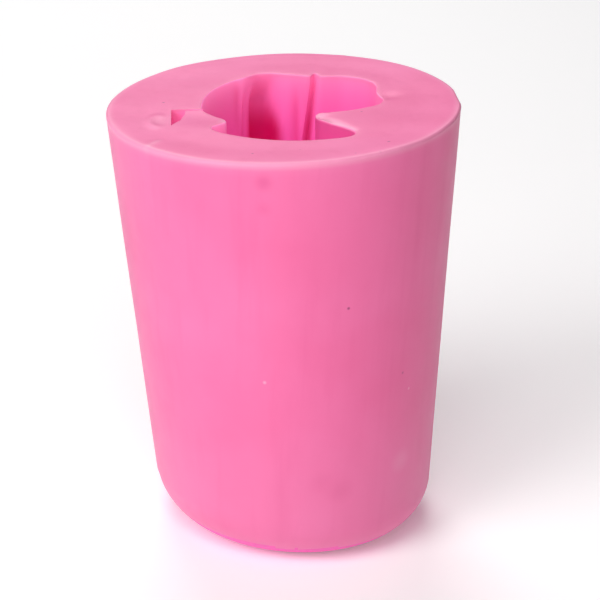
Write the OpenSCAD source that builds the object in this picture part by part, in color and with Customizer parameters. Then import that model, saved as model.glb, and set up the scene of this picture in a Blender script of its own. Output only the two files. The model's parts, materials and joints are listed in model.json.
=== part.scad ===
// Block mould for a robed figure candle: one casting of soft silicone, slit down one side so that
// it opens like a book about the wall opposite the slit.
//
// The pour face is up and the closed end rests on z = 0. The axis of the casting leans towards -X,
// because the closed end isn't square to it. Everything but the foot is drawn in the axis frame:
// z along the axis from the foot, x and y across it, and module leaned() puts that in place.

/* [Casting] */
// Diameter across the pour face
pour_d = 90; // [80:1:120]
// Diameter of the closed end, before its corner is rounded
foot_d = 72; // [64:1:76]
// Length along the axis, from the middle of the closed end to the pour face
length = 114.5; // [108:0.5:140]
// Angle between the axis and the vertical
lean = 4; // [0:0.5:5]
// Radius of the rounded corner at the closed end
corner_r = 12.5; // [8:0.5:16]
// Radius of the rim of the pour face
rim_r = 0.75; // [0.5:0.25:2.5]

/* [Figure cavity] */
// Depth of the cavity, from the pour face to the crown of the head
cavity_depth = 96; // [94:1:98]
// Distance from the casting's axis to the figure's axis, towards the hinge
figure_x = 3; // [2:0.5:4]
// Distance from the casting's axis to the figure's axis, towards the back
figure_y = 1.5; // [1:0.5:2]
// Radius of the head
head_r = 10; // [8:0.5:11]
// Radius of the neck
neck_r = 6.5; // [5:0.5:7.5]
// Radius of the hole that the wick runs through
wick_r = 1.25; // [0.75:0.25:1.5]

/* [Slit and hinge] */
// Distance of the parting plane in front of the axis
part_y = 2; // [1.5:0.25:2.5]
// Width of the uncut wall that bends when the mould is opened
hinge_w = 5; // [4:0.5:6]
// Distance from the casting's axis to the inner side of the uncut wall, below the cavity
hinge_x = 20; // [18:1:24]
// Depth of the pocket at the corner of the slit
pocket_depth = 22; // [10:1:30]
// Depth over which the folds behind the figure drift and deepen
fold_depth = 22; // [15:1:26]

/* [Hidden] */
$fn = 96;

pour_r = pour_d / 2;
foot_r = foot_d / 2;
taper = (pour_r - foot_r) / length;
// The widest circle of the rim is centred on x = 0, and the foot's middle is this far from it
foot_x = (length - rim_r) * sin(lean);
silicone = [0.98, 0.52, 0.74];
past = 20;
far = 3 * pour_r;

// Points along an arc about (x, y), from angle a0 to a1, in n steps
function arc(x, y, r, a0, a1, n) =
    [for (i = [0:n]) let (a = a0 + (a1 - a0) * i / n) [x + r * cos(a), y + r * sin(a)]];

// Hem of the robe, clockwise from the inner end of the slit. Two narrow tongues of silicone reach
// in between the cloak and the front of the robe, and the cloak has a step and a crease behind.
cloak_left = arc(8, 2, 28.8, 188, 127.5, 8);
cloak_back = [[-9, 25.8], [-7.6, 27], [-4, 27.4], [0.5, 25.8], [6.2, 24.2], [7.6, 26.8], [8.8, 24.6]];
// The same two stretches at fold_depth
deep_left = arc(8, 2, 28.8, 188, 133, 8);
deep_back = [[-12.2, 24.6], [-13, 28], [-7, 31.5], [-1.5, 26.5], [2.6, 24.4], [4.7, 27], [6, 24.4]];
cloak_right = arc(13, 13.3, 11.2, 98, -18, 7);
cloak_edge = [[24.6, 8.2], [25.4, 6], [25.4, 3]];
tongue_right = [
    [24.2, 0.4], [21, -2.2], [16.5, -4.6], [11.4, -5.6], [9.1, -6], [8.4, -7.4], [9, -9.8],
    [11.6, -13.2], [15.4, -17.4]
];
robe_corner = [[18, -21.4], [18.1, -22.8], [16.8, -24.6]];
robe_front = arc(5, 6, 33, -71, -128, 9);
tongue_left = [[-17.2, -17], [-17.2, -16], [-15.6, -14], [-14, -11.4], [-14.2, -10.2], [-17.5, -6.2]];
straight_folds = concat(cloak_right, cloak_edge, tongue_right, robe_corner, robe_front, tongue_left);
hem = concat(cloak_left, cloak_back, straight_folds);
deep_hem = concat(deep_left, deep_back, straight_folds);
hem_n = len(hem);

// Share of the way round the hem at which each of its points lies
function gap(i) = norm(hem[(i + 1) % hem_n] - hem[i]);
function run(i) = i == 0 ? 0 : run(i - 1) + gap(i - 1);
hem_share = [for (i = [0:hem_n - 1]) run(i) / (run(hem_n - 1) + gap(hem_n - 1))];

// Levels of the cavity: depth, how far the folds have faded into an oval, and the oval's half
// width and half thickness. The folds run straight down, then fade to the waist and shoulders.
neck_depth = cavity_depth - 2 * head_r + 1.5;
fold_levels = [
    [-1, 0, 20, 17], [0, 0, 20, 17], [fold_depth, 0, 20, 17], [34, 0.3, 19, 16.5], [42, 0.65, 18, 15.5],
    [49, 0.88, 17.2, 14.5], [55, 1, 17, 13.5], [61, 1, 17.8, 12.5], [66, 1, 17, 11.6], [70, 1, 14.5, 10.4],
    [73.5, 1, 10, 8.6], [neck_depth, 1, neck_r, neck_r]
];
// The head, from under the chin to the small flat at its crown, where the wick hole starts
chin_a = asin(neck_r / head_r) + 8;
crown_a = 168;
head_middle = cavity_depth + head_r * cos(crown_a);
head_levels = [
    for (a = [chin_a:(crown_a - chin_a) / 7:crown_a + 0.01])
        [head_middle - head_r * cos(a), 1, head_r * sin(a), head_r * sin(a)]
];
levels = concat(fold_levels, head_levels);

function oval(i, w, t) =
    let (a = 190 - 360 * hem_share[i]) [figure_x + w * cos(a), figure_y + t * sin(a)];
function fold(i, depth) =
    let (s = min(max(depth / fold_depth, 0), 1)) hem[i] * (1 - s) + deep_hem[i] * s;
function level_point(i, v) =
    let (p = fold(i, v[0]) * (1 - v[1]) + oval(i, v[2], v[3]) * v[1]) [p[0], p[1], length - v[0]];

module leaned() {
    translate([foot_x, 0, 0]) rotate([0, -lean, 0]) children();
}

// The tapered casting with its rim, carried on below the floor for the foot to trim
module barrel() {
    rim = arc(pour_r - rim_r, length - rim_r, rim_r, 0, 90, 5);
    rotate([0, 0, 100])
        rotate_extrude()
            polygon(concat([[0, -past], [foot_r - taper * past, -past]], rim, [[0, length]]));
}

// Upright bowl with the rounded corner, wider than the barrel above the corner
module foot_bowl() {
    r = foot_r + taper * corner_r - corner_r;
    corner = arc(r, corner_r, corner_r, -90, 0, 8);
    top = length + past;
    translate([foot_x - corner_r * tan(lean), 0, 0])
        rotate([0, 0, 100])
            rotate_extrude()
                polygon(concat([[0, 0]], corner, [[r + corner_r + top * tan(12), top], [0, top]]));
}

// Space that the wax figure fills, with the hole for its wick
module cavity() {
    n = hem_n;
    m = len(levels);
    pts = [for (v = levels, i = [0:n - 1]) level_point(i, v)];
    cells = [for (k = [0:m - 2], i = [0:n - 1]) [k * n + i, k * n + (i + 1) % n]];
    upper = [for (c = cells) [c[0], c[1] + n, c[1]]];
    lower = [for (c = cells) [c[0], c[0] + n, c[1] + n]];
    mouth = [for (i = [0:n - 1]) i];
    crown = [for (i = [n - 1:-1:0]) (m - 1) * n + i];
    polyhedron(pts, concat([mouth], upper, lower, [crown]), convexity = 8);
    translate([figure_x, figure_y, -past]) cylinder(r = wick_r, h = length - cavity_depth + past + 1);
}

// The slit, from the cavity: left to the pocket's corner, forwards, then slantwise to the outside
slit_corner = [-28.4, -part_y];
slit_bend = [-27.6, -14.5];
slit_mouth = [-32, -31.5];
slit_end = slit_bend + 5 * (slit_mouth - slit_bend);

// Plan of what moves with the front half
module front_plan() {
    polygon([[far, -part_y], slit_corner, slit_bend, slit_end, [far, slit_end[1]]]);
}

module hinge_plan() {
    translate([hinge_x, -part_y]) square([far, hinge_w]);
}

// Pocket that the two turns of the slit leave in the corner of the front half
module pocket() {
    cheek = [[-24.8, -part_y + 1], [-24.8, -4.8], [-25.6, -10]];
    translate([0, 0, length - pocket_depth])
        linear_extrude(height = pocket_depth + past)
            polygon(concat([slit_corner + [-1, 1]], cheek, [slit_bend, slit_bend + [-1, 0]]));
}

// The whole casting with its cavity, kept only inside or outside a plan
module casting() {
    difference() {
        intersection() {
            leaned() barrel();
            foot_bowl();
        }
        leaned() cavity();
    }
}

module tall() {
    leaned() translate([0, 0, -past]) linear_extrude(height = length + 2 * past) children();
}

module back_half() {
    color(silicone)
        difference() {
            casting();
            tall() front_plan();
            tall() hinge_plan();
        }
}

module front_half() {
    color(silicone)
        difference() {
            intersection() {
                casting();
                tall() front_plan();
            }
            leaned() pocket();
        }
}

module hinge_wall() {
    color(silicone)
        intersection() {
            casting();
            tall() hinge_plan();
        }
}

back_half();
front_half();
hinge_wall();
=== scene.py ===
"""Looks of a silicone block mould for a robed figure candle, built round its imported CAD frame.

The mould is one soft casting, slit down its left side, so two pieces show it: the back half, and the
front half together with the uncut wall on the right, which bends when the slit is opened. Shapes are
worked out in millimetres in the casting's own frame, with z along its leaning axis, and put in place
by to_world(). Depth is measured down that axis from the pour face.
"""

import json
import math

import bmesh
import bpy
import numpy as np
from mathutils import Matrix, Vector
from mathutils.bvhtree import BVHTree
from mathutils.geometry import delaunay_2d_cdt


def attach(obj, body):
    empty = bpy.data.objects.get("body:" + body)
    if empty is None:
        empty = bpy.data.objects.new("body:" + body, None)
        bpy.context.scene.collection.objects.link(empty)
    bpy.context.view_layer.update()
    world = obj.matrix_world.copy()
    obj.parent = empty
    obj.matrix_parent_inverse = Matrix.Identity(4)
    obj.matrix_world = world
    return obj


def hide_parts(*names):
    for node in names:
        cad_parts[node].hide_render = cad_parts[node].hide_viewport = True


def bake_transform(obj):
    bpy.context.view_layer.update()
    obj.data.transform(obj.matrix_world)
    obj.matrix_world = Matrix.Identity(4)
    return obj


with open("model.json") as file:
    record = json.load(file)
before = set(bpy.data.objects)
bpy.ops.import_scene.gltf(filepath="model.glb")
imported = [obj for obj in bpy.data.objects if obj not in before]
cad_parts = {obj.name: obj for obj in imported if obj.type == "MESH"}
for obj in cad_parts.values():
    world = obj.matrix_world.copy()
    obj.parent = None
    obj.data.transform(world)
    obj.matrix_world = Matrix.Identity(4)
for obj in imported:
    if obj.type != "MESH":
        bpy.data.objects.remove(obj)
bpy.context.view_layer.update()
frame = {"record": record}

MM = 0.001

# ---------------------------------------------------------------- sizes in mm, as the CAD has them
mounts = {m["name"]: m for m in frame["record"]["mounts"]}
pour_axis = Vector(mounts["pour_face"]["axis"])
pour_point = Vector(mounts["pour_face"]["pos_m"]) / MM
LEAN = math.asin(-pour_axis.x)
LENGTH = pour_point.z / math.cos(LEAN)
FOOT_X = pour_point.x + LENGTH * math.sin(LEAN)
WICK_R = mounts["wick_hole"]["dims"]["r_mm"]
POUR_R = 45.0  # radius of the pour face
FOOT_R = 36.0  # radius of the closed end, before its corner is rounded
TAPER = (POUR_R - FOOT_R) / LENGTH
CORNER_R = 12.5  # radius of the corner at the closed end
RIM_R = 0.75  # radius of the rim of the pour face
LIP_R = 0.4  # radius of the edge round the cavity

CAVITY_DEPTH = 96.0  # down to the crown of the head
FIGURE_X = 3.0  # place of the figure's axis
FIGURE_Y = 1.5
HEAD_R = 10.0
NECK_R = 6.5
CROWN = 168.0  # degrees round the head at which its small flat starts
FOLD_DEPTH = 22.0  # depth over which the folds drift and deepen
RECESS_DEPTH = 9.0  # the same for the recess behind the cloak

PART_Y = 2.0  # the parting plane is this far in front of the axis
HINGE_W = 5.0  # width of the uncut wall
HINGE_X = 20.0  # inner side of the uncut wall
SEAM_Y = HINGE_W - PART_Y  # plane where the uncut wall joins the back half
POCKET_DEPTH = 22.0
SLIT_CORNER = np.array([-28.4, -PART_Y])
SLIT_BEND = np.array([-27.6, -14.5])
SLIT_MOUTH = np.array([-32.0, -31.5])

OUTER_COLUMNS = 256  # points round the outer wall
HEM_STEP = 0.75  # spacing of points along the hem
TOP_STEP = 0.9  # spacing of points on the pour face
BASE_STEP = 2.5  # spacing of points on the closed end
MERGE = 0.02  # points nearer to each other than this become one
PAST = 20.0  # how far a cutting tool runs past the casting


def to_world(points):
    """Points of the casting's frame, in mm, as points of the row frame, in metres."""
    p = np.asarray(points, float)
    s, c = math.sin(LEAN), math.cos(LEAN)
    x = FOOT_X + p[:, 0] * c - p[:, 2] * s
    z = p[:, 0] * s + p[:, 2] * c
    return np.c_[x, p[:, 1], z] * MM


def to_casting(points):
    """Points of the row frame, in metres, as points of the casting's frame, in mm."""
    p = np.asarray(points, float) / MM
    s, c = math.sin(LEAN), math.cos(LEAN)
    x = p[:, 0] - FOOT_X
    return np.c_[x * c + p[:, 2] * s, p[:, 1], p[:, 2] * c - x * s]


def smoothstep(v):
    """An even ease from 0 to 1 as v goes from 0 to 1, and flat beyond."""
    v = np.clip(v, 0.0, 1.0)
    return v * v * (3 - 2 * v)


def rise(value, start, end):
    """0 at start and before, 1 at end and after, and smooth between; end may be the lower one."""
    return smoothstep((value - start) / (end - start))


def near(x, y, place, size):
    """A bell of height 1 over a place in plan, with the given standard deviation."""
    return np.exp(-((x - place[0]) ** 2 + (y - place[1]) ** 2) / (2 * size ** 2))


def segment_gap(x, y, ends):
    """Distance in plan from points to a straight line between two ends."""
    start, way = ends[0], ends[1] - ends[0]
    t = np.clip(((x - start[0]) * way[0] + (y - start[1]) * way[1]) / (way @ way), 0, 1)
    return np.hypot(x - start[0] - t * way[0], y - start[1] - t * way[1])


def ridge(x, y, ends, width):
    """A bell of height 1 along a straight line between two ends."""
    return np.exp(-((segment_gap(x, y, ends) / width) ** 2))


def waves(x, y, z, size, seed):
    """Slow unevenness between about -1 and 1, as a sum of sines in seven seeded directions."""
    rng = np.random.default_rng(seed)
    total = np.zeros_like(x)
    for _ in range(7):
        direction = rng.normal(size=3)
        direction /= np.linalg.norm(direction)
        length = size * rng.uniform(0.6, 1.6)
        phase = rng.uniform(0, 2 * math.pi)
        along = direction[0] * x + direction[1] * y + direction[2] * z
        total += np.sin(2 * math.pi * along / length + phase)
    return total / 4


# ---------------------------------------------------------------- camera
CAMERA_PLACE = (0.006598, -0.532384, 0.289363)
CAMERA_PITCH = math.radians(23.252)
CAMERA_ROLL = math.radians(2.853)
CAMERA_LENS = 132


def make_camera():
    data = bpy.data.cameras.new("camera")
    camera = bpy.data.objects.new("camera", data)
    bpy.context.scene.collection.objects.link(camera)
    data.sensor_width = 36
    data.lens = CAMERA_LENS
    data.clip_start = 0.01
    data.clip_end = 20
    turn = Matrix.Rotation(math.pi / 2 - CAMERA_PITCH, 4, "X") @ Matrix.Rotation(CAMERA_ROLL, 4, "Z")
    camera.matrix_world = Matrix.Translation(CAMERA_PLACE) @ turn
    bpy.context.scene.camera = camera


make_camera()


# ---------------------------------------------------------------- the hem of the robe, in plan
def arc(x, y, r, a0, a1, n):
    """Points along an arc about (x, y), from angle a0 to a1 in degrees, in n steps."""
    a = np.radians(np.linspace(a0, a1, n + 1))
    return np.c_[x + r * np.cos(a), y + r * np.sin(a)]


# The hem runs clockwise from the inner end of the slit. The stretch that runs straight down is shared
# by the hem at the pour face and the hem at FOLD_DEPTH.
STRAIGHT_FOLDS = np.vstack([
    arc(12.9, 13.3, 10.8, 98, -8, 7),
    [[23.6, 9.6], [24.2, 7.4], [25, 5.2], [25.1, 2.4], [23.9, -0.2], [21, -2.3], [16.5, -4.6]],
    [[11.4, -5.5], [9, -5.6]],
    [[8.2, -6.8], [8.7, -9.8], [11.4, -13.4], [15.4, -17.2], [18, -21.2], [18.1, -22.6], [16.8, -24.6]],
    arc(5, 6, 33, -71, -128, 9),
    [[-17.2, -17], [-17.2, -16], [-15.6, -14], [-14, -11.4], [-14.2, -10.2], [-17.5, -6.2]],
])
HEM = np.vstack([
    arc(8.3, 2.4, 29.1, 188, 127.5, 8),
    [[-8.9, 25.9], [-7.2, 26.8], [-4, 27.2], [0.5, 26.1]],
    [[3.5, 25.3], [6.5, 24.5], [7.6, 26.5], [8.7, 24.4]],
    STRAIGHT_FOLDS,
])
DEEP_HEM = np.vstack([
    arc(8.3, 2.4, 29.1, 188, 133, 8),
    [[-10.2, 25], [-11.4, 28.2], [-7, 31.5], [-0.8, 25.6]],
    [[1.7, 26], [3.3, 24.8], [4.8, 27], [6, 24.4]],
    STRAIGHT_FOLDS,
])


def smooth_loop(points, counts):
    """A closed curve through the points, counts[i] samples on the stretch after point i."""
    ahead = np.roll(points, -1, 0)
    behind = np.roll(points, 1, 0)
    length = np.linalg.norm(ahead - points, axis=1)
    before = np.roll(length, 1)
    tangent = (points - behind) / before[:, None] ** 2 + (ahead - points) / length[:, None] ** 2
    tangent /= np.linalg.norm(tangent, axis=1)[:, None]
    made = []
    for i, n in enumerate(counts):
        j = (i + 1) % len(points)
        t = (np.arange(n) / n)[:, None]
        reach = length[i] / 3
        p0, p3 = points[i], points[j]
        p1, p2 = p0 + tangent[i] * reach, p3 - tangent[j] * reach
        made.append((1 - t) ** 3 * p0 + 3 * (1 - t) ** 2 * t * p1 + 3 * (1 - t) * t * t * p2 + t ** 3 * p3)
    return np.vstack(made)


gaps = np.linalg.norm(np.roll(HEM, -1, 0) - HEM, axis=1)
counts = np.maximum(3, np.round(gaps / HEM_STEP)).astype(int)
hem = smooth_loop(HEM, counts)
deep_hem = smooth_loop(DEEP_HEM, counts)
point_share = np.append(np.cumsum(np.append(0, gaps[:-1])), gaps.sum()) / gaps.sum()
hem_share = np.concatenate([
    point_share[i] + (point_share[i + 1] - point_share[i]) * np.arange(n) / n for i, n in enumerate(counts)
])


def outward(loop):
    """Unit normals of a closed plan curve, pointing from the cavity into the silicone."""
    along = np.roll(loop, -1, 0) - np.roll(loop, 1, 0)
    along /= np.linalg.norm(along, axis=1)[:, None]
    return np.c_[-along[:, 1], along[:, 0]]


# A soft fold on the left of the cloak: its place and size, and how proud it is at the two depths
FOLD_PLACE, FOLD_SIZE = (-11.4, 23.7), 1.1
FOLD_TOP, FOLD_DEEP = 0.3, 1.0
left_fold = near(hem[:, 0], hem[:, 1], FOLD_PLACE, FOLD_SIZE)[:, None]
hem = hem - outward(hem) * FOLD_TOP * left_fold
deep_hem = deep_hem - outward(deep_hem) * FOLD_DEEP * left_fold
# The recess beside it starts close below the pour face
RECESS_PLACE = (-7.5, 27)
recess = rise(np.hypot(*(hem - RECESS_PLACE).T), 6.8, 2.8)


# ---------------------------------------------------------------- unevenness of the pour face
# Lines are given by their two ends in plan, and the bump and the tip by their middles
TONGUE_RIGHT = np.array([[9.2, -8.2], [17.2, -20.2]])
TONGUE_LEFT = np.array([[-29.0, -3.0], [-15.0, -9.0]])
CLOAK_TIP = np.array([26.6, 6.8])
BUMP = np.array([-30.8, -11.0])
RIM_MARK = np.array([[-32.1, -30.8], [-29.8, -26.5]])
# Heights, negative where the silicone lies low
DISH, DISH_FLOOR = 0.25, -0.12
UNEVEN = 0.1
TIP_DROOP, TONGUE_DROOP = -0.5, -0.35
CRESCENT, CRESCENT_R = 0.3, 2.3
SLUMP = -0.4
MARK = 0.2


def top_relief(x, y):
    """Height of the pour face above its plane."""
    dish = DISH_FLOOR + DISH * rise(np.hypot(x, y), 34, 44)
    uneven = UNEVEN * waves(x, y, 0 * x, size=26, seed=3)
    droop = TIP_DROOP * near(x, y, TONGUE_RIGHT[0], 2.6)
    droop = droop + TONGUE_DROOP * ridge(x, y, TONGUE_RIGHT, 1.1)
    across, along = x - BUMP[0], (y - BUMP[1]) * 0.55
    crescent = CRESCENT * np.exp(-((np.hypot(across, along) - CRESCENT_R) / 0.9) ** 2)
    crescent = crescent * rise(across, 2, -1)
    slump = SLUMP * near(x, y, CLOAK_TIP, 2.0)
    mark = MARK * ridge(x, y, RIM_MARK, 0.7)
    return dish + uneven + droop + crescent + slump + mark


FLAT_MIDDLE, FLAT_HALF = math.radians(6), math.radians(7.6)
KINK_PLACE, KINK_WIDTH, KINK_HEIGHT = math.radians(71), math.radians(1.6), 0.22


def turn_from(angle, middle):
    """Signed angle from a middle, between minus and plus half a turn."""
    return (angle - middle + math.pi) % (2 * math.pi) - math.pi


def rim_radius(angle):
    """Radius of the rim by angle: round, with one flat on the right and a small kink at the back."""
    flat = POUR_R * math.cos(FLAT_HALF) / np.cos(angle - FLAT_MIDDLE)
    r = np.where(np.abs(turn_from(angle, FLAT_MIDDLE)) < FLAT_HALF, flat, POUR_R)
    return r + KINK_HEIGHT * np.exp(-(turn_from(angle, KINK_PLACE) / KINK_WIDTH) ** 2)


# ---------------------------------------------------------------- the casting's surfaces as grids
WALL_ROWS = 76
FADE_LENGTH = 6.0  # the unevenness of the pour face dies away down the wall over this length
WALL_UNEVEN = 0.09


def outer_rows():
    """Rings of the outer wall: the edge of the pour face, its rim, the wall and the rounded corner."""
    angle = np.linspace(0, 2 * math.pi, OUTER_COLUMNS, endpoint=False)
    cos, sin = np.cos(angle), np.sin(angle)
    rim = rim_radius(angle)
    rows = []
    for inset in (1.4, 0.7):
        x, y = (rim - RIM_R - inset) * cos, (rim - RIM_R - inset) * sin
        rows.append(np.c_[x, y, LENGTH + top_relief(x, y)])
    for a in np.radians(np.linspace(90, 0, 8)):
        r = rim - RIM_R + RIM_R * np.cos(a)
        z = np.full_like(r, LENGTH - RIM_R + RIM_R * np.sin(a))
        x, y = r * cos, r * sin
        rows.append(np.c_[x, y, z + top_relief(x, y)])
    lean_s, lean_c = math.sin(LEAN), math.cos(LEAN)
    top_z = LENGTH - RIM_R
    bottom_z = (CORNER_R - (FOOT_R + TAPER * CORNER_R) * cos * lean_s) / lean_c
    for t in np.concatenate([[0.003, 0.006, 0.01], np.linspace(0, 1, WALL_ROWS)[1:]]):
        z = top_z + (bottom_z - top_z) * t
        fade = np.exp(-(LENGTH - z) / FADE_LENGTH)
        r = FOOT_R + TAPER * z + (rim - POUR_R) * fade
        r = r + WALL_UNEVEN * waves(r * cos, r * sin, z * 0.5, size=30, seed=5) * (1 - fade)
        x, y = r * cos, r * sin
        rows.append(np.c_[x, y, z + top_relief(x, y) * fade ** 3])
    for a in np.radians(np.linspace(0, 90, 17)[1:]):
        height = CORNER_R * (1 - np.sin(a))
        r = FOOT_R + TAPER * height - CORNER_R * (1 - np.cos(a))
        x_world = FOOT_X - height * math.tan(LEAN) + r * cos
        world = np.c_[x_world, r * sin, np.full_like(r * cos, height)]
        rows.append(to_casting(world * MM))
    return rows


# Depth, how far the folds have faded into an oval, and the oval's half width and half thickness
BODY_LEVELS = np.array([
    [0, 0, 20, 17], [FOLD_DEPTH, 0, 20, 17], [34, 0.3, 19, 16.5], [42, 0.65, 18, 15.5],
    [49, 0.88, 17.2, 14.5], [55, 1, 17, 13.5], [61, 1, 17.8, 12.5], [66, 1, 17, 11.6], [70, 1, 14.5, 10.4],
    [73.5, 1, 10, 8.6],
    [CAVITY_DEPTH - 2 * HEAD_R + 1.5, 1, NECK_R, NECK_R],
])


def body_level(depth):
    """Fade of the folds and the oval's half width and half thickness, averaged over nearby depths."""
    reach = np.linspace(-2.2, 2.2, 9) * rise(depth, 0, 20) * rise(depth, 77.5, 72.5)
    around = np.clip(depth + reach, 0, BODY_LEVELS[-1, 0])
    return [np.interp(around, BODY_LEVELS[:, 0], BODY_LEVELS[:, k]).mean() for k in (1, 2, 3)]


EASED_SHARE = 0.35  # the rest of the folds' drift is even


def figure_row(depth, fade, half_w, half_t):
    """Ring of the cavity at a depth, between the folds and an oval."""
    share = rise(depth, 0, FOLD_DEPTH) * EASED_SHARE + min(depth / FOLD_DEPTH, 1) * (1 - EASED_SHARE)
    share = share + (rise(depth, 0, RECESS_DEPTH) - share) * recess[:, None]
    folds = hem * (1 - share) + deep_hem * share
    a = np.radians(190 - 360 * hem_share)
    oval = np.c_[FIGURE_X + half_w * np.cos(a), FIGURE_Y + half_t * np.sin(a)]
    plan = folds * (1 - fade) + oval * fade
    return np.c_[plan, np.full(len(plan), LENGTH - depth)]


def cavity_rows():
    """Rings of the cavity: its edge, the robe and shoulders, the head, and the wick hole."""
    normal = outward(hem)
    rows = []
    for a in np.radians(np.linspace(0, 90, 5)):
        plan = hem + normal * LIP_R * (1 - np.sin(a))
        z = LENGTH - LIP_R * (1 - np.cos(a)) + top_relief(plan[:, 0], plan[:, 1])
        rows.append(np.c_[plan, z])
    sag = top_relief(hem[:, 0], hem[:, 1])
    neck_depth = BODY_LEVELS[-1, 0]
    for depth in np.concatenate([np.geomspace(0.9, 4, 5), np.linspace(5, neck_depth, 62)]):
        row = figure_row(depth, *body_level(depth))
        row[:, 2] += sag * math.exp(-depth / 4)
        rows.append(row)
    chin = math.degrees(math.asin(NECK_R / HEAD_R)) + 8
    middle = CAVITY_DEPTH + HEAD_R * math.cos(math.radians(CROWN))
    for a in np.radians(np.linspace(chin, CROWN, 22)):
        r = HEAD_R * math.sin(a)
        rows.append(figure_row(middle - HEAD_R * math.cos(a), 1, r, r))
    for past_crown in (0.1, 1, 6, 12):
        rows.append(figure_row(CAVITY_DEPTH + past_crown, 1, WICK_R, WICK_R))
    last = figure_row(LENGTH, 1, WICK_R, WICK_R)
    last[:, 2] = -last[:, 0] * math.tan(LEAN)
    rows.append(last)
    return rows


def strip_faces(first, columns, rows):
    """Quads of a closed grid whose vertices start at index first."""
    faces = []
    for k in range(rows - 1):
        upper, lower = first + k * columns, first + (k + 1) * columns
        for i in range(columns):
            j = (i + 1) % columns
            faces.append([lower + i, lower + j, upper + j, upper + i])
    return faces


def inside(loop, points):
    """Whether plan points lie inside a closed plan curve."""
    result = np.zeros(len(points), bool)
    ahead = np.roll(loop, -1, 0)
    for (x0, y0), (x1, y1) in zip(loop, ahead):
        if y0 != y1:
            crosses = (y0 > points[:, 1]) != (y1 > points[:, 1])
            result ^= crosses & (points[:, 0] < x0 + (x1 - x0) * (points[:, 1] - y0) / (y1 - y0))
    return result


def annulus(outer, inner, spacing):
    """Triangles between two closed plan curves, with extra points at the given spacing."""
    reach = np.abs(outer).max()
    across = np.arange(-reach, reach, spacing)
    gx, gy = np.meshgrid(across, across * math.sqrt(0.75))
    gx = gx + (np.arange(len(gy)) % 2)[:, None] * spacing / 2
    grid = np.c_[gx.ravel(), gy.ravel()]
    ring = np.vstack([outer, inner])
    clear = np.array([np.min(np.hypot(*(ring - p).T)) for p in grid]) > spacing * 0.6
    keep = clear & inside(outer, grid) & ~inside(inner, grid)
    points = np.vstack([ring, grid[keep]])
    n, m = len(outer), len(inner)
    edges = [(i, (i + 1) % n) for i in range(n)] + [(n + i, n + (i + 1) % m) for i in range(m)]
    vectors = [Vector(p) for p in points]
    found, _, faces, _, _, _ = delaunay_2d_cdt(vectors, edges, [], 0, 1e-6)
    found = np.array([tuple(v) for v in found])
    middles = np.array([found[list(f)].mean(0) for f in faces])
    good = inside(outer, middles) & ~inside(inner, middles)
    return found, [list(f) for f, g in zip(faces, good) if g]


def casting_mesh():
    """The whole uncut casting as one closed mesh."""
    outer, cavity = outer_rows(), cavity_rows()
    points = np.vstack(outer + cavity)
    split = len(outer) * OUTER_COLUMNS
    faces = strip_faces(0, OUTER_COLUMNS, len(outer))
    faces += strip_faces(split, len(hem), len(cavity))
    for ring_out, ring_in, top in ((outer[0], cavity[0], True), (outer[-1], cavity[-1], False)):
        found, triangles = annulus(ring_out[:, :2], ring_in[:, :2], TOP_STEP if top else BASE_STEP)
        if top:
            z = LENGTH + top_relief(found[:, 0], found[:, 1])
        else:
            z = -found[:, 0] * math.tan(LEAN)
        first = len(points)
        points = np.vstack([points, np.c_[found, z]])
        faces += [[first + i for i in (f if top else f[::-1])] for f in triangles]
    mesh = bpy.data.meshes.new("casting")
    mesh.from_pydata([tuple(p) for p in to_world(points)], [], faces)
    work = bmesh.new()
    work.from_mesh(mesh)
    bmesh.ops.remove_doubles(work, verts=work.verts, dist=MERGE * MM)
    bmesh.ops.recalc_face_normals(work, faces=work.faces)
    work.to_mesh(mesh)
    work.free()
    return mesh


def prism(name, plan, low, high):
    """A closed prism in the casting's frame, as an object."""
    plan = np.array(plan, float)
    n = len(plan)
    points = np.vstack([np.c_[plan, np.full(n, low)], np.c_[plan, np.full(n, high)]])
    faces = [list(range(n))[::-1], list(range(n, 2 * n))]
    faces += [[i, (i + 1) % n, n + (i + 1) % n, n + i] for i in range(n)]
    mesh = bpy.data.meshes.new(name)
    mesh.from_pydata([tuple(p) for p in to_world(points)], [], faces)
    work = bmesh.new()
    work.from_mesh(mesh)
    bmesh.ops.recalc_face_normals(work, faces=work.faces)
    work.to_mesh(mesh)
    work.free()
    tool = bpy.data.objects.new(name, mesh)
    bpy.context.scene.collection.objects.link(tool)
    return tool


def cut(mesh, name, steps):
    """A copy of the mesh as an object, after boolean steps of (operation, tool)."""
    piece = bpy.data.objects.new(name, mesh.copy())
    bpy.context.scene.collection.objects.link(piece)
    for operation, tool in steps:
        boolean = piece.modifiers.new(operation, "BOOLEAN")
        boolean.operation = operation
        boolean.solver = "EXACT"
        boolean.object = tool
        graph = bpy.context.evaluated_depsgraph_get()
        made = bpy.data.meshes.new_from_object(piece.evaluated_get(graph))
        piece.modifiers.clear()
        piece.data = made
    piece.data.name = name
    return piece


FAR = 3 * POUR_R
slit_end = SLIT_BEND + 5 * (SLIT_MOUTH - SLIT_BEND)
front_plan = [
    [FAR, SEAM_Y], [HINGE_X, SEAM_Y], [HINGE_X, -PART_Y],
    SLIT_CORNER, SLIT_BEND, slit_end, [FAR, slit_end[1]],
]
pocket_plan = [
    SLIT_CORNER + [-1, 1], [-24.8, 1 - PART_Y], [-24.8, -4.8], [-25.6, -10], SLIT_BEND, SLIT_BEND + [-1, 0],
]

casting = casting_mesh()
front_tool = prism("front_tool", front_plan, -PAST, LENGTH + PAST)
pocket_tool = prism("pocket_tool", pocket_plan, LENGTH - POCKET_DEPTH, LENGTH + PAST)
back = cut(casting, "back_shell", [("DIFFERENCE", front_tool)])
front = cut(casting, "front_shell", [("INTERSECT", front_tool), ("DIFFERENCE", pocket_tool)])
for tool in (front_tool, pocket_tool):
    bpy.data.objects.remove(tool)


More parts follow.
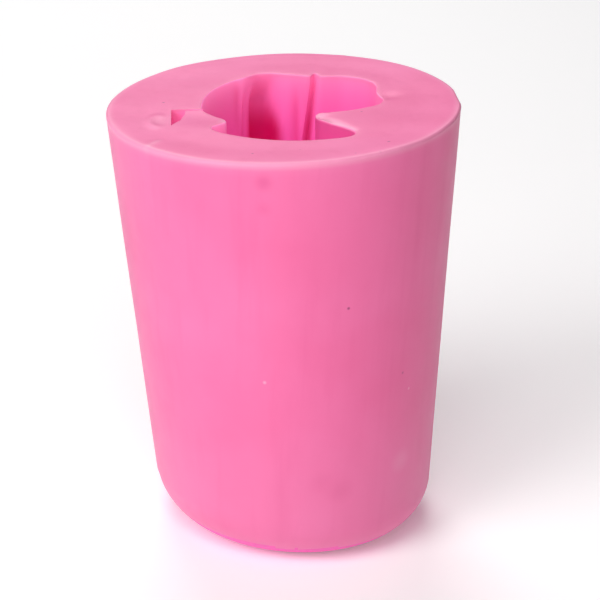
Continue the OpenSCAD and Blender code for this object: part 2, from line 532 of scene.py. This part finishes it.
# ---------------------------------------------------------------- what the cutting and use did
def settle(piece, move):
    """Moves a piece's vertices by a function of their place in the casting's frame."""
    co = np.zeros(len(piece.data.vertices) * 3)
    piece.data.vertices.foreach_get("co", co)
    local = to_casting(co.reshape(-1, 3))
    piece.data.vertices.foreach_set("co", to_world(local + move(local)).ravel())
    piece.data.update()


TONGUE_SAG = 0.35


def tongue_sag(p):
    """The left tongue of the front half lies a little lower than the back half beside it."""
    share = rise(segment_gap(p[:, 0], p[:, 1], TONGUE_LEFT), 9.5, 0)
    drop = TONGUE_SAG * share * np.exp(-(LENGTH - p[:, 2]) / 14)
    return np.c_[np.zeros((len(p), 2)), -drop]


settle(front, tongue_sag)


def add_loops(piece, places, normal):
    """Extra edge loops where planes with one normal cross a piece."""
    work = bmesh.new()
    work.from_mesh(piece.data)
    for place in places:
        parts = work.verts[:] + work.edges[:] + work.faces[:]
        bmesh.ops.bisect_plane(work, geom=parts, plane_co=place, plane_no=normal, dist=1e-7)
    work.to_mesh(piece.data)
    work.free()


# Loops cut the hinge wall into ten strips, and rings keep the long faces of the slit short
BEND_STEP = 0.5
RING_DEPTHS = (1, *range(6, 112, 8))
bend_places = [(0, y * MM, 0) for y in np.arange(BEND_STEP - PART_Y, SEAM_Y - BEND_STEP / 2, BEND_STEP)]
ring_places = to_world([[0, 0, LENGTH - depth] for depth in RING_DEPTHS])
add_loops(front, bend_places, (0, 1, 0))
for piece in (back, front):
    add_loops(piece, ring_places, pour_axis)


# ---------------------------------------------------------------- shading of the cut edges
CUT_TOLERANCE = 0.02
SEAM_TOLERANCE = 0.005
SHARP = 38  # degrees between two faces
SHARP_AT_CUT = 5


def on_cut(p):
    """Whether each of a face's points lies on one of the planes that part the two pieces."""
    offsets = [p[:, 1] + PART_Y, p[:, 1] - SEAM_Y, p[:, 0] - HINGE_X]
    for start, end in ((SLIT_CORNER, SLIT_BEND), (SLIT_BEND, SLIT_MOUTH)):
        way = (end - start) / np.linalg.norm(end - start)
        offsets.append((p[:, 0] - start[0]) * way[1] - (p[:, 1] - start[1]) * way[0])
    return (np.abs(offsets) < CUT_TOLERANCE).any(axis=0)


def shade(piece, whole):
    """Smooth, but sharp at the cuts, and with the uncut casting's normals where the hinge wall joins."""
    mesh = piece.data
    mesh.polygons.foreach_set("use_smooth", [True] * len(mesh.polygons))
    work = bmesh.new()
    work.from_mesh(mesh)
    place = to_casting([tuple(vertex.co) for vertex in work.verts])
    work.verts.index_update()
    cut_faces = {face for face in work.faces if on_cut(place[[v.index for v in face.verts]]).all()}
    for edge in work.edges:
        limit = SHARP_AT_CUT if cut_faces.intersection(edge.link_faces) else SHARP
        edge.smooth = edge.calc_face_angle(0) < math.radians(limit)
    work.to_mesh(mesh)
    work.free()
    seam_y = SEAM_Y * MM
    tree = BVHTree.FromPolygons([v.co for v in whole.vertices], [tuple(p.vertices) for p in whole.polygons])
    custom = [(0.0, 0.0, 0.0)] * len(mesh.loops)
    for polygon in mesh.polygons:
        if abs(polygon.normal.y) > 0.99 and abs(polygon.center.y - seam_y) < 2 * SEAM_TOLERANCE * MM:
            continue
        for index in polygon.loop_indices:
            place = mesh.vertices[mesh.loops[index].vertex_index].co
            if abs(place.y - seam_y) < SEAM_TOLERANCE * MM and place.x > HINGE_X * MM * 0.9:
                _, _, face, _ = tree.find_nearest(place)
                corners = whole.polygons[face].vertices
                weights = [1 / ((whole.vertices[c].co - place).length + 1e-6 * MM) for c in corners]
                normal = Vector()
                for corner, weight in zip(corners, weights):
                    normal += whole.vertices[corner].normal * weight
                custom[index] = tuple(normal.normalized())
    mesh.normals_split_custom_set(custom)


shade(back, casting)
shade(front, casting)


# ---------------------------------------------------------------- painted attributes
# How light passes through and bounces in the silicone, light from the floor, and shade in the recesses and
# under the right tongue are painted on. Each is a share from 0 to 1, by place in plan and by depth, both in
# mm.
LEFT_TIP = (-14.2, -10.9)
CREST_GROOVE = (2.4, 26.0)
FOLD_GROOVE = (-13.2, 22.0)
CREASE = (5.6, 27.0)
POCKET_MIDDLE = (-27.0, -7.0)
SLIT_STEP = np.array([SLIT_CORNER, [-20.6, -PART_Y]])
LIP_PAINT_DEPTH = 5


def lip_light_paint(x, y, depth):
    """Painted highlight on the thin edge round the cavity and along the first run of the slit, for light
    through it.
    """
    lip = np.zeros(len(x))
    for i in np.where(depth < LIP_PAINT_DEPTH)[0]:
        off = np.min(np.hypot(hem[:, 0] - x[i], hem[:, 1] - y[i]))
        lip[i] = math.exp(-off / 0.8) * math.exp(-max(depth[i] - LIP_R, 0) / 1.5)
    step = np.exp(-segment_gap(x, y, SLIT_STEP) / 0.6) * np.exp(-((depth / 1.2) ** 2))
    return np.maximum(lip, step)


def thin_paint(x, y, depth):
    """Painted highlight where light shines through the two thin tongues, and paler paint on the bump and
    the mark at the rim.
    """
    tongues = np.maximum(ridge(x, y, TONGUE_RIGHT, 1.3) * 0.8, near(x, y, LEFT_TIP, 1.0))
    bump_and_mark = near(x, y, BUMP, 2.6) * 0.6 + ridge(x, y, RIM_MARK, 0.8)
    return np.maximum(tongues, bump_and_mark * 0.5) * np.exp(-((depth / 1.4) ** 2))


def hollow_shade_paint(x, y, depth):
    """Painted shade in the recess behind the cloak, which gets darker and wider downwards, and in three
    narrow grooves.
    """
    right_end = 6.5 * rise(depth, 0, 17) - 8.5
    hollow = rise(x, right_end + 2, right_end - 2) * rise(y, 23.6, 25.2)
    hollow = hollow * (0.1 * rise(depth, 0, 3) + 0.9 * rise(depth, 5, 17))
    hollow = np.maximum(hollow, 0.45 * near(x, y, CREST_GROOVE, 0.8) * rise(depth, 0, 12))
    hollow = np.maximum(hollow, 0.3 * near(x, y, FOLD_GROOVE, 0.8) * rise(depth, 0, 4))
    crease = 0.35 * rise(depth, 0, 3) + 0.35 * rise(depth, 8, 16)
    return np.maximum(hollow, crease * near(x, y, CREASE, 1.5))


def wall_paint(x, y, depth, lip):
    """Painted light and shade on the cavity and pocket walls: deeper pink downwards, glow, shade in hollows
    and under the tongue.
    """
    pocket = rise(np.hypot(x - POCKET_MIDDLE[0], y - POCKET_MIDDLE[1]), 10, 5)
    left = rise(x, -8, -12)
    glow = (0.76 + 0.1 * left) * (0.22 + 0.78 * np.exp(-depth / 12)) * (1 - 0.6 * lip * (1 - left))
    return {
        # sunk: painted light bounced between the walls, which deepens the pink downwards
        "sunk": (1 - np.exp(-depth / (9 - 5 * pocket))) * (1 - 0.3 * pocket),
        "glow": glow + (0.2 - glow) * pocket,
        "hollow": hollow_shade_paint(x, y, depth),
        # under: painted shade under the right tongue
        "under": rise(segment_gap(x, y, TONGUE_RIGHT), 4.8, 1.8) * rise(depth, 0.2, 1.0),
    }


def inner_corners(mesh, p):
    """Which face corners lie on the walls of the cavity or the pocket, and not on a cut or outside."""
    inner = np.zeros(len(mesh.loops), bool)
    for polygon in mesh.polygons:
        corners = p[list(polygon.vertices)]
        x, y, z = corners.mean(0)
        depth = LENGTH - z
        below_face = depth > 2 or polygon.normal.z < 0.9
        within = math.hypot(x, y) < FOOT_R + TAPER * z - 2.5 and z > 1
        in_pocket = depth < POCKET_DEPTH + 1 and math.hypot(x - POCKET_MIDDLE[0], y - POCKET_MIDDLE[1]) < 9
        if below_face and within and (in_pocket or not on_cut(corners).all()):
            inner[list(polygon.loop_indices)] = True
    return inner


def store(mesh, name, domain, values):
    attribute = mesh.attributes.new(name, "FLOAT", domain)
    attribute.data.foreach_set("value", values.astype(np.float32))


def paint(piece):
    """Paints a piece: highlights on lips, thin places and rim and light from the floor on the foot by
    point, and light and shade on the inner walls by face corner.
    """
    mesh = piece.data
    co = np.zeros(len(mesh.vertices) * 3)
    mesh.vertices.foreach_get("co", co)
    world = co.reshape(-1, 3)
    p = to_casting(world)
    x, y = p[:, 0], p[:, 1]
    depth = np.maximum(LENGTH - p[:, 2], 0)
    height = np.maximum(world[:, 2] / MM, 0)
    from_rim = POUR_R - 0.2 - np.hypot(x, y)
    lip = lip_light_paint(x, y, depth)
    store(mesh, "lip", "POINT", lip)
    store(mesh, "thin", "POINT", thin_paint(x, y, depth))
    # Painted highlight along the rim of the pour face
    store(mesh, "rim", "POINT", np.exp(-((from_rim ** 2 + np.maximum(depth - 0.3, 0) ** 2) / 1.1 ** 2)))
    # Painted light from the floor: the foot is paler near the floor and, less so, up the lower wall
    store(mesh, "foot", "POINT", np.maximum(np.exp(-height / 6), 0.27 * rise(height, 55, 0)))
    at = np.zeros(len(mesh.loops), int)
    mesh.loops.foreach_get("vertex_index", at)
    inner = inner_corners(mesh, p)
    for name, values in wall_paint(x, y, depth, lip).items():
        store(mesh, name, "CORNER", values[at] * inner)


paint(back)
paint(front)


# ---------------------------------------------------------------- silicone
def linear(r, g, b):
    """A display colour of 0 to 255 as a linear one."""
    out = []
    for v in (r, g, b):
        v /= 255
        out.append(v / 12.92 if v <= 0.04045 else ((v + 0.055) / 1.055) ** 2.4)
    return (*out, 1)


PINK, DEEP_PINK, LIGHT_PINK = linear(245, 115, 170), linear(243, 110, 165), linear(247, 120, 175)
STREAK = linear(232, 92, 150)
# Each painted attribute's share in the base colour, and the colour it turns towards
# Painted highlights: the lip, the tongues and the rim turn paler as if lit through; the bump and the rim
# mark are paler too
EDGE_TINTS = [
    ("lip", 0.3, linear(255, 165, 198)),
    ("thin", 0.55, linear(250, 190, 212)),
    ("rim", 0.55, linear(255, 178, 208)),
]
# Painted light and shade: a paler foot for light from the floor, a deeper pink down the walls for light
# bounced between them, and painted shade under the right tongue and in the hollows
SHADE_AND_BOUNCE_TINTS = [
    ("foot", 0.75, linear(232, 158, 194)),
    ("sunk", 1, linear(222, 90, 170)),
    ("under", 0.85, linear(212, 84, 146)),
    ("hollow", 1, linear(200, 8, 90)),
]
# The same for the weak light that the silicone lets through, as linear colours
GLOWS = [
    ("glow", 1, (0.53, 0.17, 0.35, 1)),
    ("sunk", 1, (0.16, 0.01, 0.07, 1)),
    ("under", 1, (0.08, 0.0, 0.03, 1)),
    ("hollow", 0.9, (0.09, 0.0, 0.02, 1)),
]
# Specks, air marks and smudges: place in the casting's frame and radius in mm, strength, colour
DARK, PALE, DUSK = linear(120, 40, 80), linear(255, 205, 225), linear(222, 84, 142)
SPOTS = [
    ((-30.8, 3.8, 114.5), 0.45, 0.6, DARK), ((-6.4, -36.7, 114.5), 0.4, 0.5, DARK),
    ((19.8, -5.9, 114.4), 0.35, 0.6, DARK), ((26.2, -29.8, 114.5), 0.45, 0.6, DARK),
    ((18.2, -38.0, 114.5), 0.35, 0.4, DARK), ((24.0, -37.2, 114.2), 0.5, 0.6, DARK),
    ((4.9, -34.1, 114.5), 0.35, 0.3, DARK), ((15.9, -38.7, 74.7), 0.45, 0.8, DARK),
    ((-5.2, -40.0, 55.6), 0.55, 0.5, PALE), ((29.2, -27.4, 51.9), 0.45, 0.4, DARK),
    ((30.8, -25.0, 46.3), 0.45, 0.4, PALE), ((-9.8, -32.1, 5.3), 0.8, 0.6, PALE),
    ((-3.8, -44.5, 109.9), 2.6, 0.5, DUSK), ((-4.0, -44.0, 103.0), 2.2, 0.25, DUSK),
    ((8.1, -37.1, 26.0), 3.6, 0.2, DUSK), ((13.0, -35.4, 22.6), 3.8, 0.26, DUSK),
    ((28.6, -25.1, 25.7), 3.6, 0.13, PALE),
]


def silicone_material():
    """Pink silicone: cloudy, faintly streaked upwards, specked, with painted highlights, painted shade and
    a painted glow from the painted attributes.
    """
    material = bpy.data.materials.new("pink_silicone")
    material.use_nodes = True
    tree = material.node_tree
    nodes, links = tree.nodes, tree.links
    shader = nodes["Principled BSDF"]
    place = nodes.new("ShaderNodeTexCoord").outputs["Object"]

    def texture(scale, detail, rough=0.55, stretch=None):
        node = nodes.new("ShaderNodeTexNoise")
        node.inputs["Scale"].default_value = scale
        node.inputs["Detail"].default_value = detail
        node.inputs["Roughness"].default_value = rough
        if stretch:
            mapping = nodes.new("ShaderNodeMapping")
            mapping.inputs["Scale"].default_value = stretch
            links.new(place, mapping.inputs["Vector"])
            links.new(mapping.outputs["Vector"], node.inputs["Vector"])
        else:
            links.new(place, node.inputs["Vector"])
        return node.outputs["Fac"]

    def ramp(value, stops):
        node = nodes.new("ShaderNodeValToRGB")
        for i, (at, colour) in enumerate(stops):
            element = node.color_ramp.elements[i] if i < 2 else node.color_ramp.elements.new(at)
            element.position = at
            element.color = colour
        links.new(value, node.inputs["Fac"])
        return node.outputs["Color"]

    def mix(factor, a, b):
        node = nodes.new("ShaderNodeMix")
        node.data_type = "RGBA"
        for socket, value in ((0, factor), (6, a), (7, b)):
            if isinstance(value, bpy.types.NodeSocket):
                links.new(value, node.inputs[socket])
            else:
                node.inputs[socket].default_value = value
        return node.outputs[2]

    def painted(name):
        node = nodes.new("ShaderNodeAttribute")
        node.attribute_name = name
        return node.outputs["Fac"]

    def spread(value, low, high):
        node = nodes.new("ShaderNodeMapRange")
        node.inputs["To Min"].default_value = low
        node.inputs["To Max"].default_value = high
        links.new(value, node.inputs["Value"])
        return node.outputs["Result"]

    def spot(where, size, strength):
        gap = nodes.new("ShaderNodeVectorMath")
        gap.operation = "DISTANCE"
        gap.inputs[1].default_value = to_world([where])[0]
        links.new(place, gap.inputs[0])
        fade = nodes.new("ShaderNodeMapRange")
        fade.interpolation_type = "SMOOTHSTEP"
        fade.inputs["From Max"].default_value = size * 1.3 * MM
        fade.inputs["To Min"].default_value = strength
        fade.inputs["To Max"].default_value = 0.0
        links.new(gap.outputs["Value"], fade.inputs["Value"])
        return fade.outputs["Result"]

    def tint(base, tints):
        for name, share, colour in tints:
            base = mix(spread(painted(name), 0, share), base, colour)
        return base

    body = ramp(texture(28, 3), [(0.3, DEEP_PINK), (0.5, PINK), (0.7, LIGHT_PINK)])
    for scale, share in ((55, 0.4), (200, 0.5)):
        streaks = texture(scale, 3, stretch=(1, 1, 0.06))
        body = mix(spread(streaks, -share, share), body, STREAK)
    # painted highlights on lips, tongues and rim
    body = tint(body, EDGE_TINTS)
    for where, size, strength, colour in SPOTS:
        body = mix(spot(where, size, strength), body, colour)
    # painted floor light, bounced light and shade
    body = tint(body, SHADE_AND_BOUNCE_TINTS)
    links.new(body, shader.inputs["Base Color"])
    # painted glow for light through the silicone
    links.new(tint((0, 0, 0, 1), GLOWS), shader.inputs["Emission Color"])
    shader.inputs["Emission Strength"].default_value = 1.0
    links.new(spread(texture(160, 4), 0.36, 0.52), shader.inputs["Roughness"])
    shader.inputs["IOR"].default_value = 1.41
    bump = nodes.new("ShaderNodeBump")
    bump.inputs["Strength"].default_value = 0.12
    bump.inputs["Distance"].default_value = 0.0004
    links.new(texture(420, 5), bump.inputs["Height"])
    links.new(bump.outputs["Normal"], shader.inputs["Normal"])
    return material


silicone = silicone_material()
for piece in (back, front):
    piece.data.materials.clear()
    piece.data.materials.append(silicone)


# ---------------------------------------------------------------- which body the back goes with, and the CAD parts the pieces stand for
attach(back, "back")
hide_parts("back_half")

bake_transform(front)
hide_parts("front_half", "hinge_wall")


# ---------------------------------------------------------------- floor and light, in metres and watts
FLOOR_REACH = 3.0
LIGHT_TARGET = (0, 0, 0.06)
WHITE = (1, 1, 1)
# Place, size, power and colour
LIGHTS = {
    "key": ((-0.74, -0.74, 0.74), 0.7, 8.5, WHITE),
    "front": ((0, -0.88, 0.94), 0.7, 3.5, WHITE),
    "above": ((-0.21, -0.59, 1.14), 0.6, 3.2, WHITE),
    "behind": ((-0.2, 0.88, 0.94), 0.7, 7.2, WHITE),
    "right": ((0.83, -0.7, 0.68), 0.6, 0.9, (1, 0.3, 0.55)),
}


def make_floor():
    """A plain white floor, which glows faintly so that it reads as white."""
    mesh = bpy.data.meshes.new("floor")
    corners = [(x * FLOOR_REACH, y * FLOOR_REACH, 0) for x, y in ((-1, -1), (1, -1), (1, 1), (-1, 1))]
    mesh.from_pydata(corners, [], [(0, 1, 2, 3)])
    floor = bpy.data.objects.new("floor", mesh)
    bpy.context.scene.collection.objects.link(floor)
    material = bpy.data.materials.new("floor")
    material.use_nodes = True
    shader = material.node_tree.nodes["Principled BSDF"]
    shader.inputs["Base Color"].default_value = (0.97, 0.97, 0.97, 1)
    shader.inputs["Roughness"].default_value = 0.9
    shader.inputs["Emission Color"].default_value = (*WHITE, 1)
    shader.inputs["Emission Strength"].default_value = 0.16
    mesh.materials.append(material)


def area_light(name, place, size, power, colour):
    """A round soft light that faces the mould."""
    data = bpy.data.lights.new(name, "AREA")
    data.shape = "DISK"
    data.size = size
    data.energy = power
    data.color = colour
    light = bpy.data.objects.new(name, data)
    bpy.context.scene.collection.objects.link(light)
    light.location = place
    light.rotation_euler = (Vector(LIGHT_TARGET) - Vector(place)).to_track_quat("-Z", "Y").to_euler()


def make_world():
    world = bpy.data.worlds.new("world")
    bpy.context.scene.world = world
    world.use_nodes = True
    background = world.node_tree.nodes["Background"]
    background.inputs["Color"].default_value = (*WHITE, 1)
    background.inputs["Strength"].default_value = 0.02


make_floor()
for name, settings in LIGHTS.items():
    area_light(name, *settings)
make_world()
bpy.context.scene.view_settings.view_transform = "Standard"

bpy.context.view_layer.update()
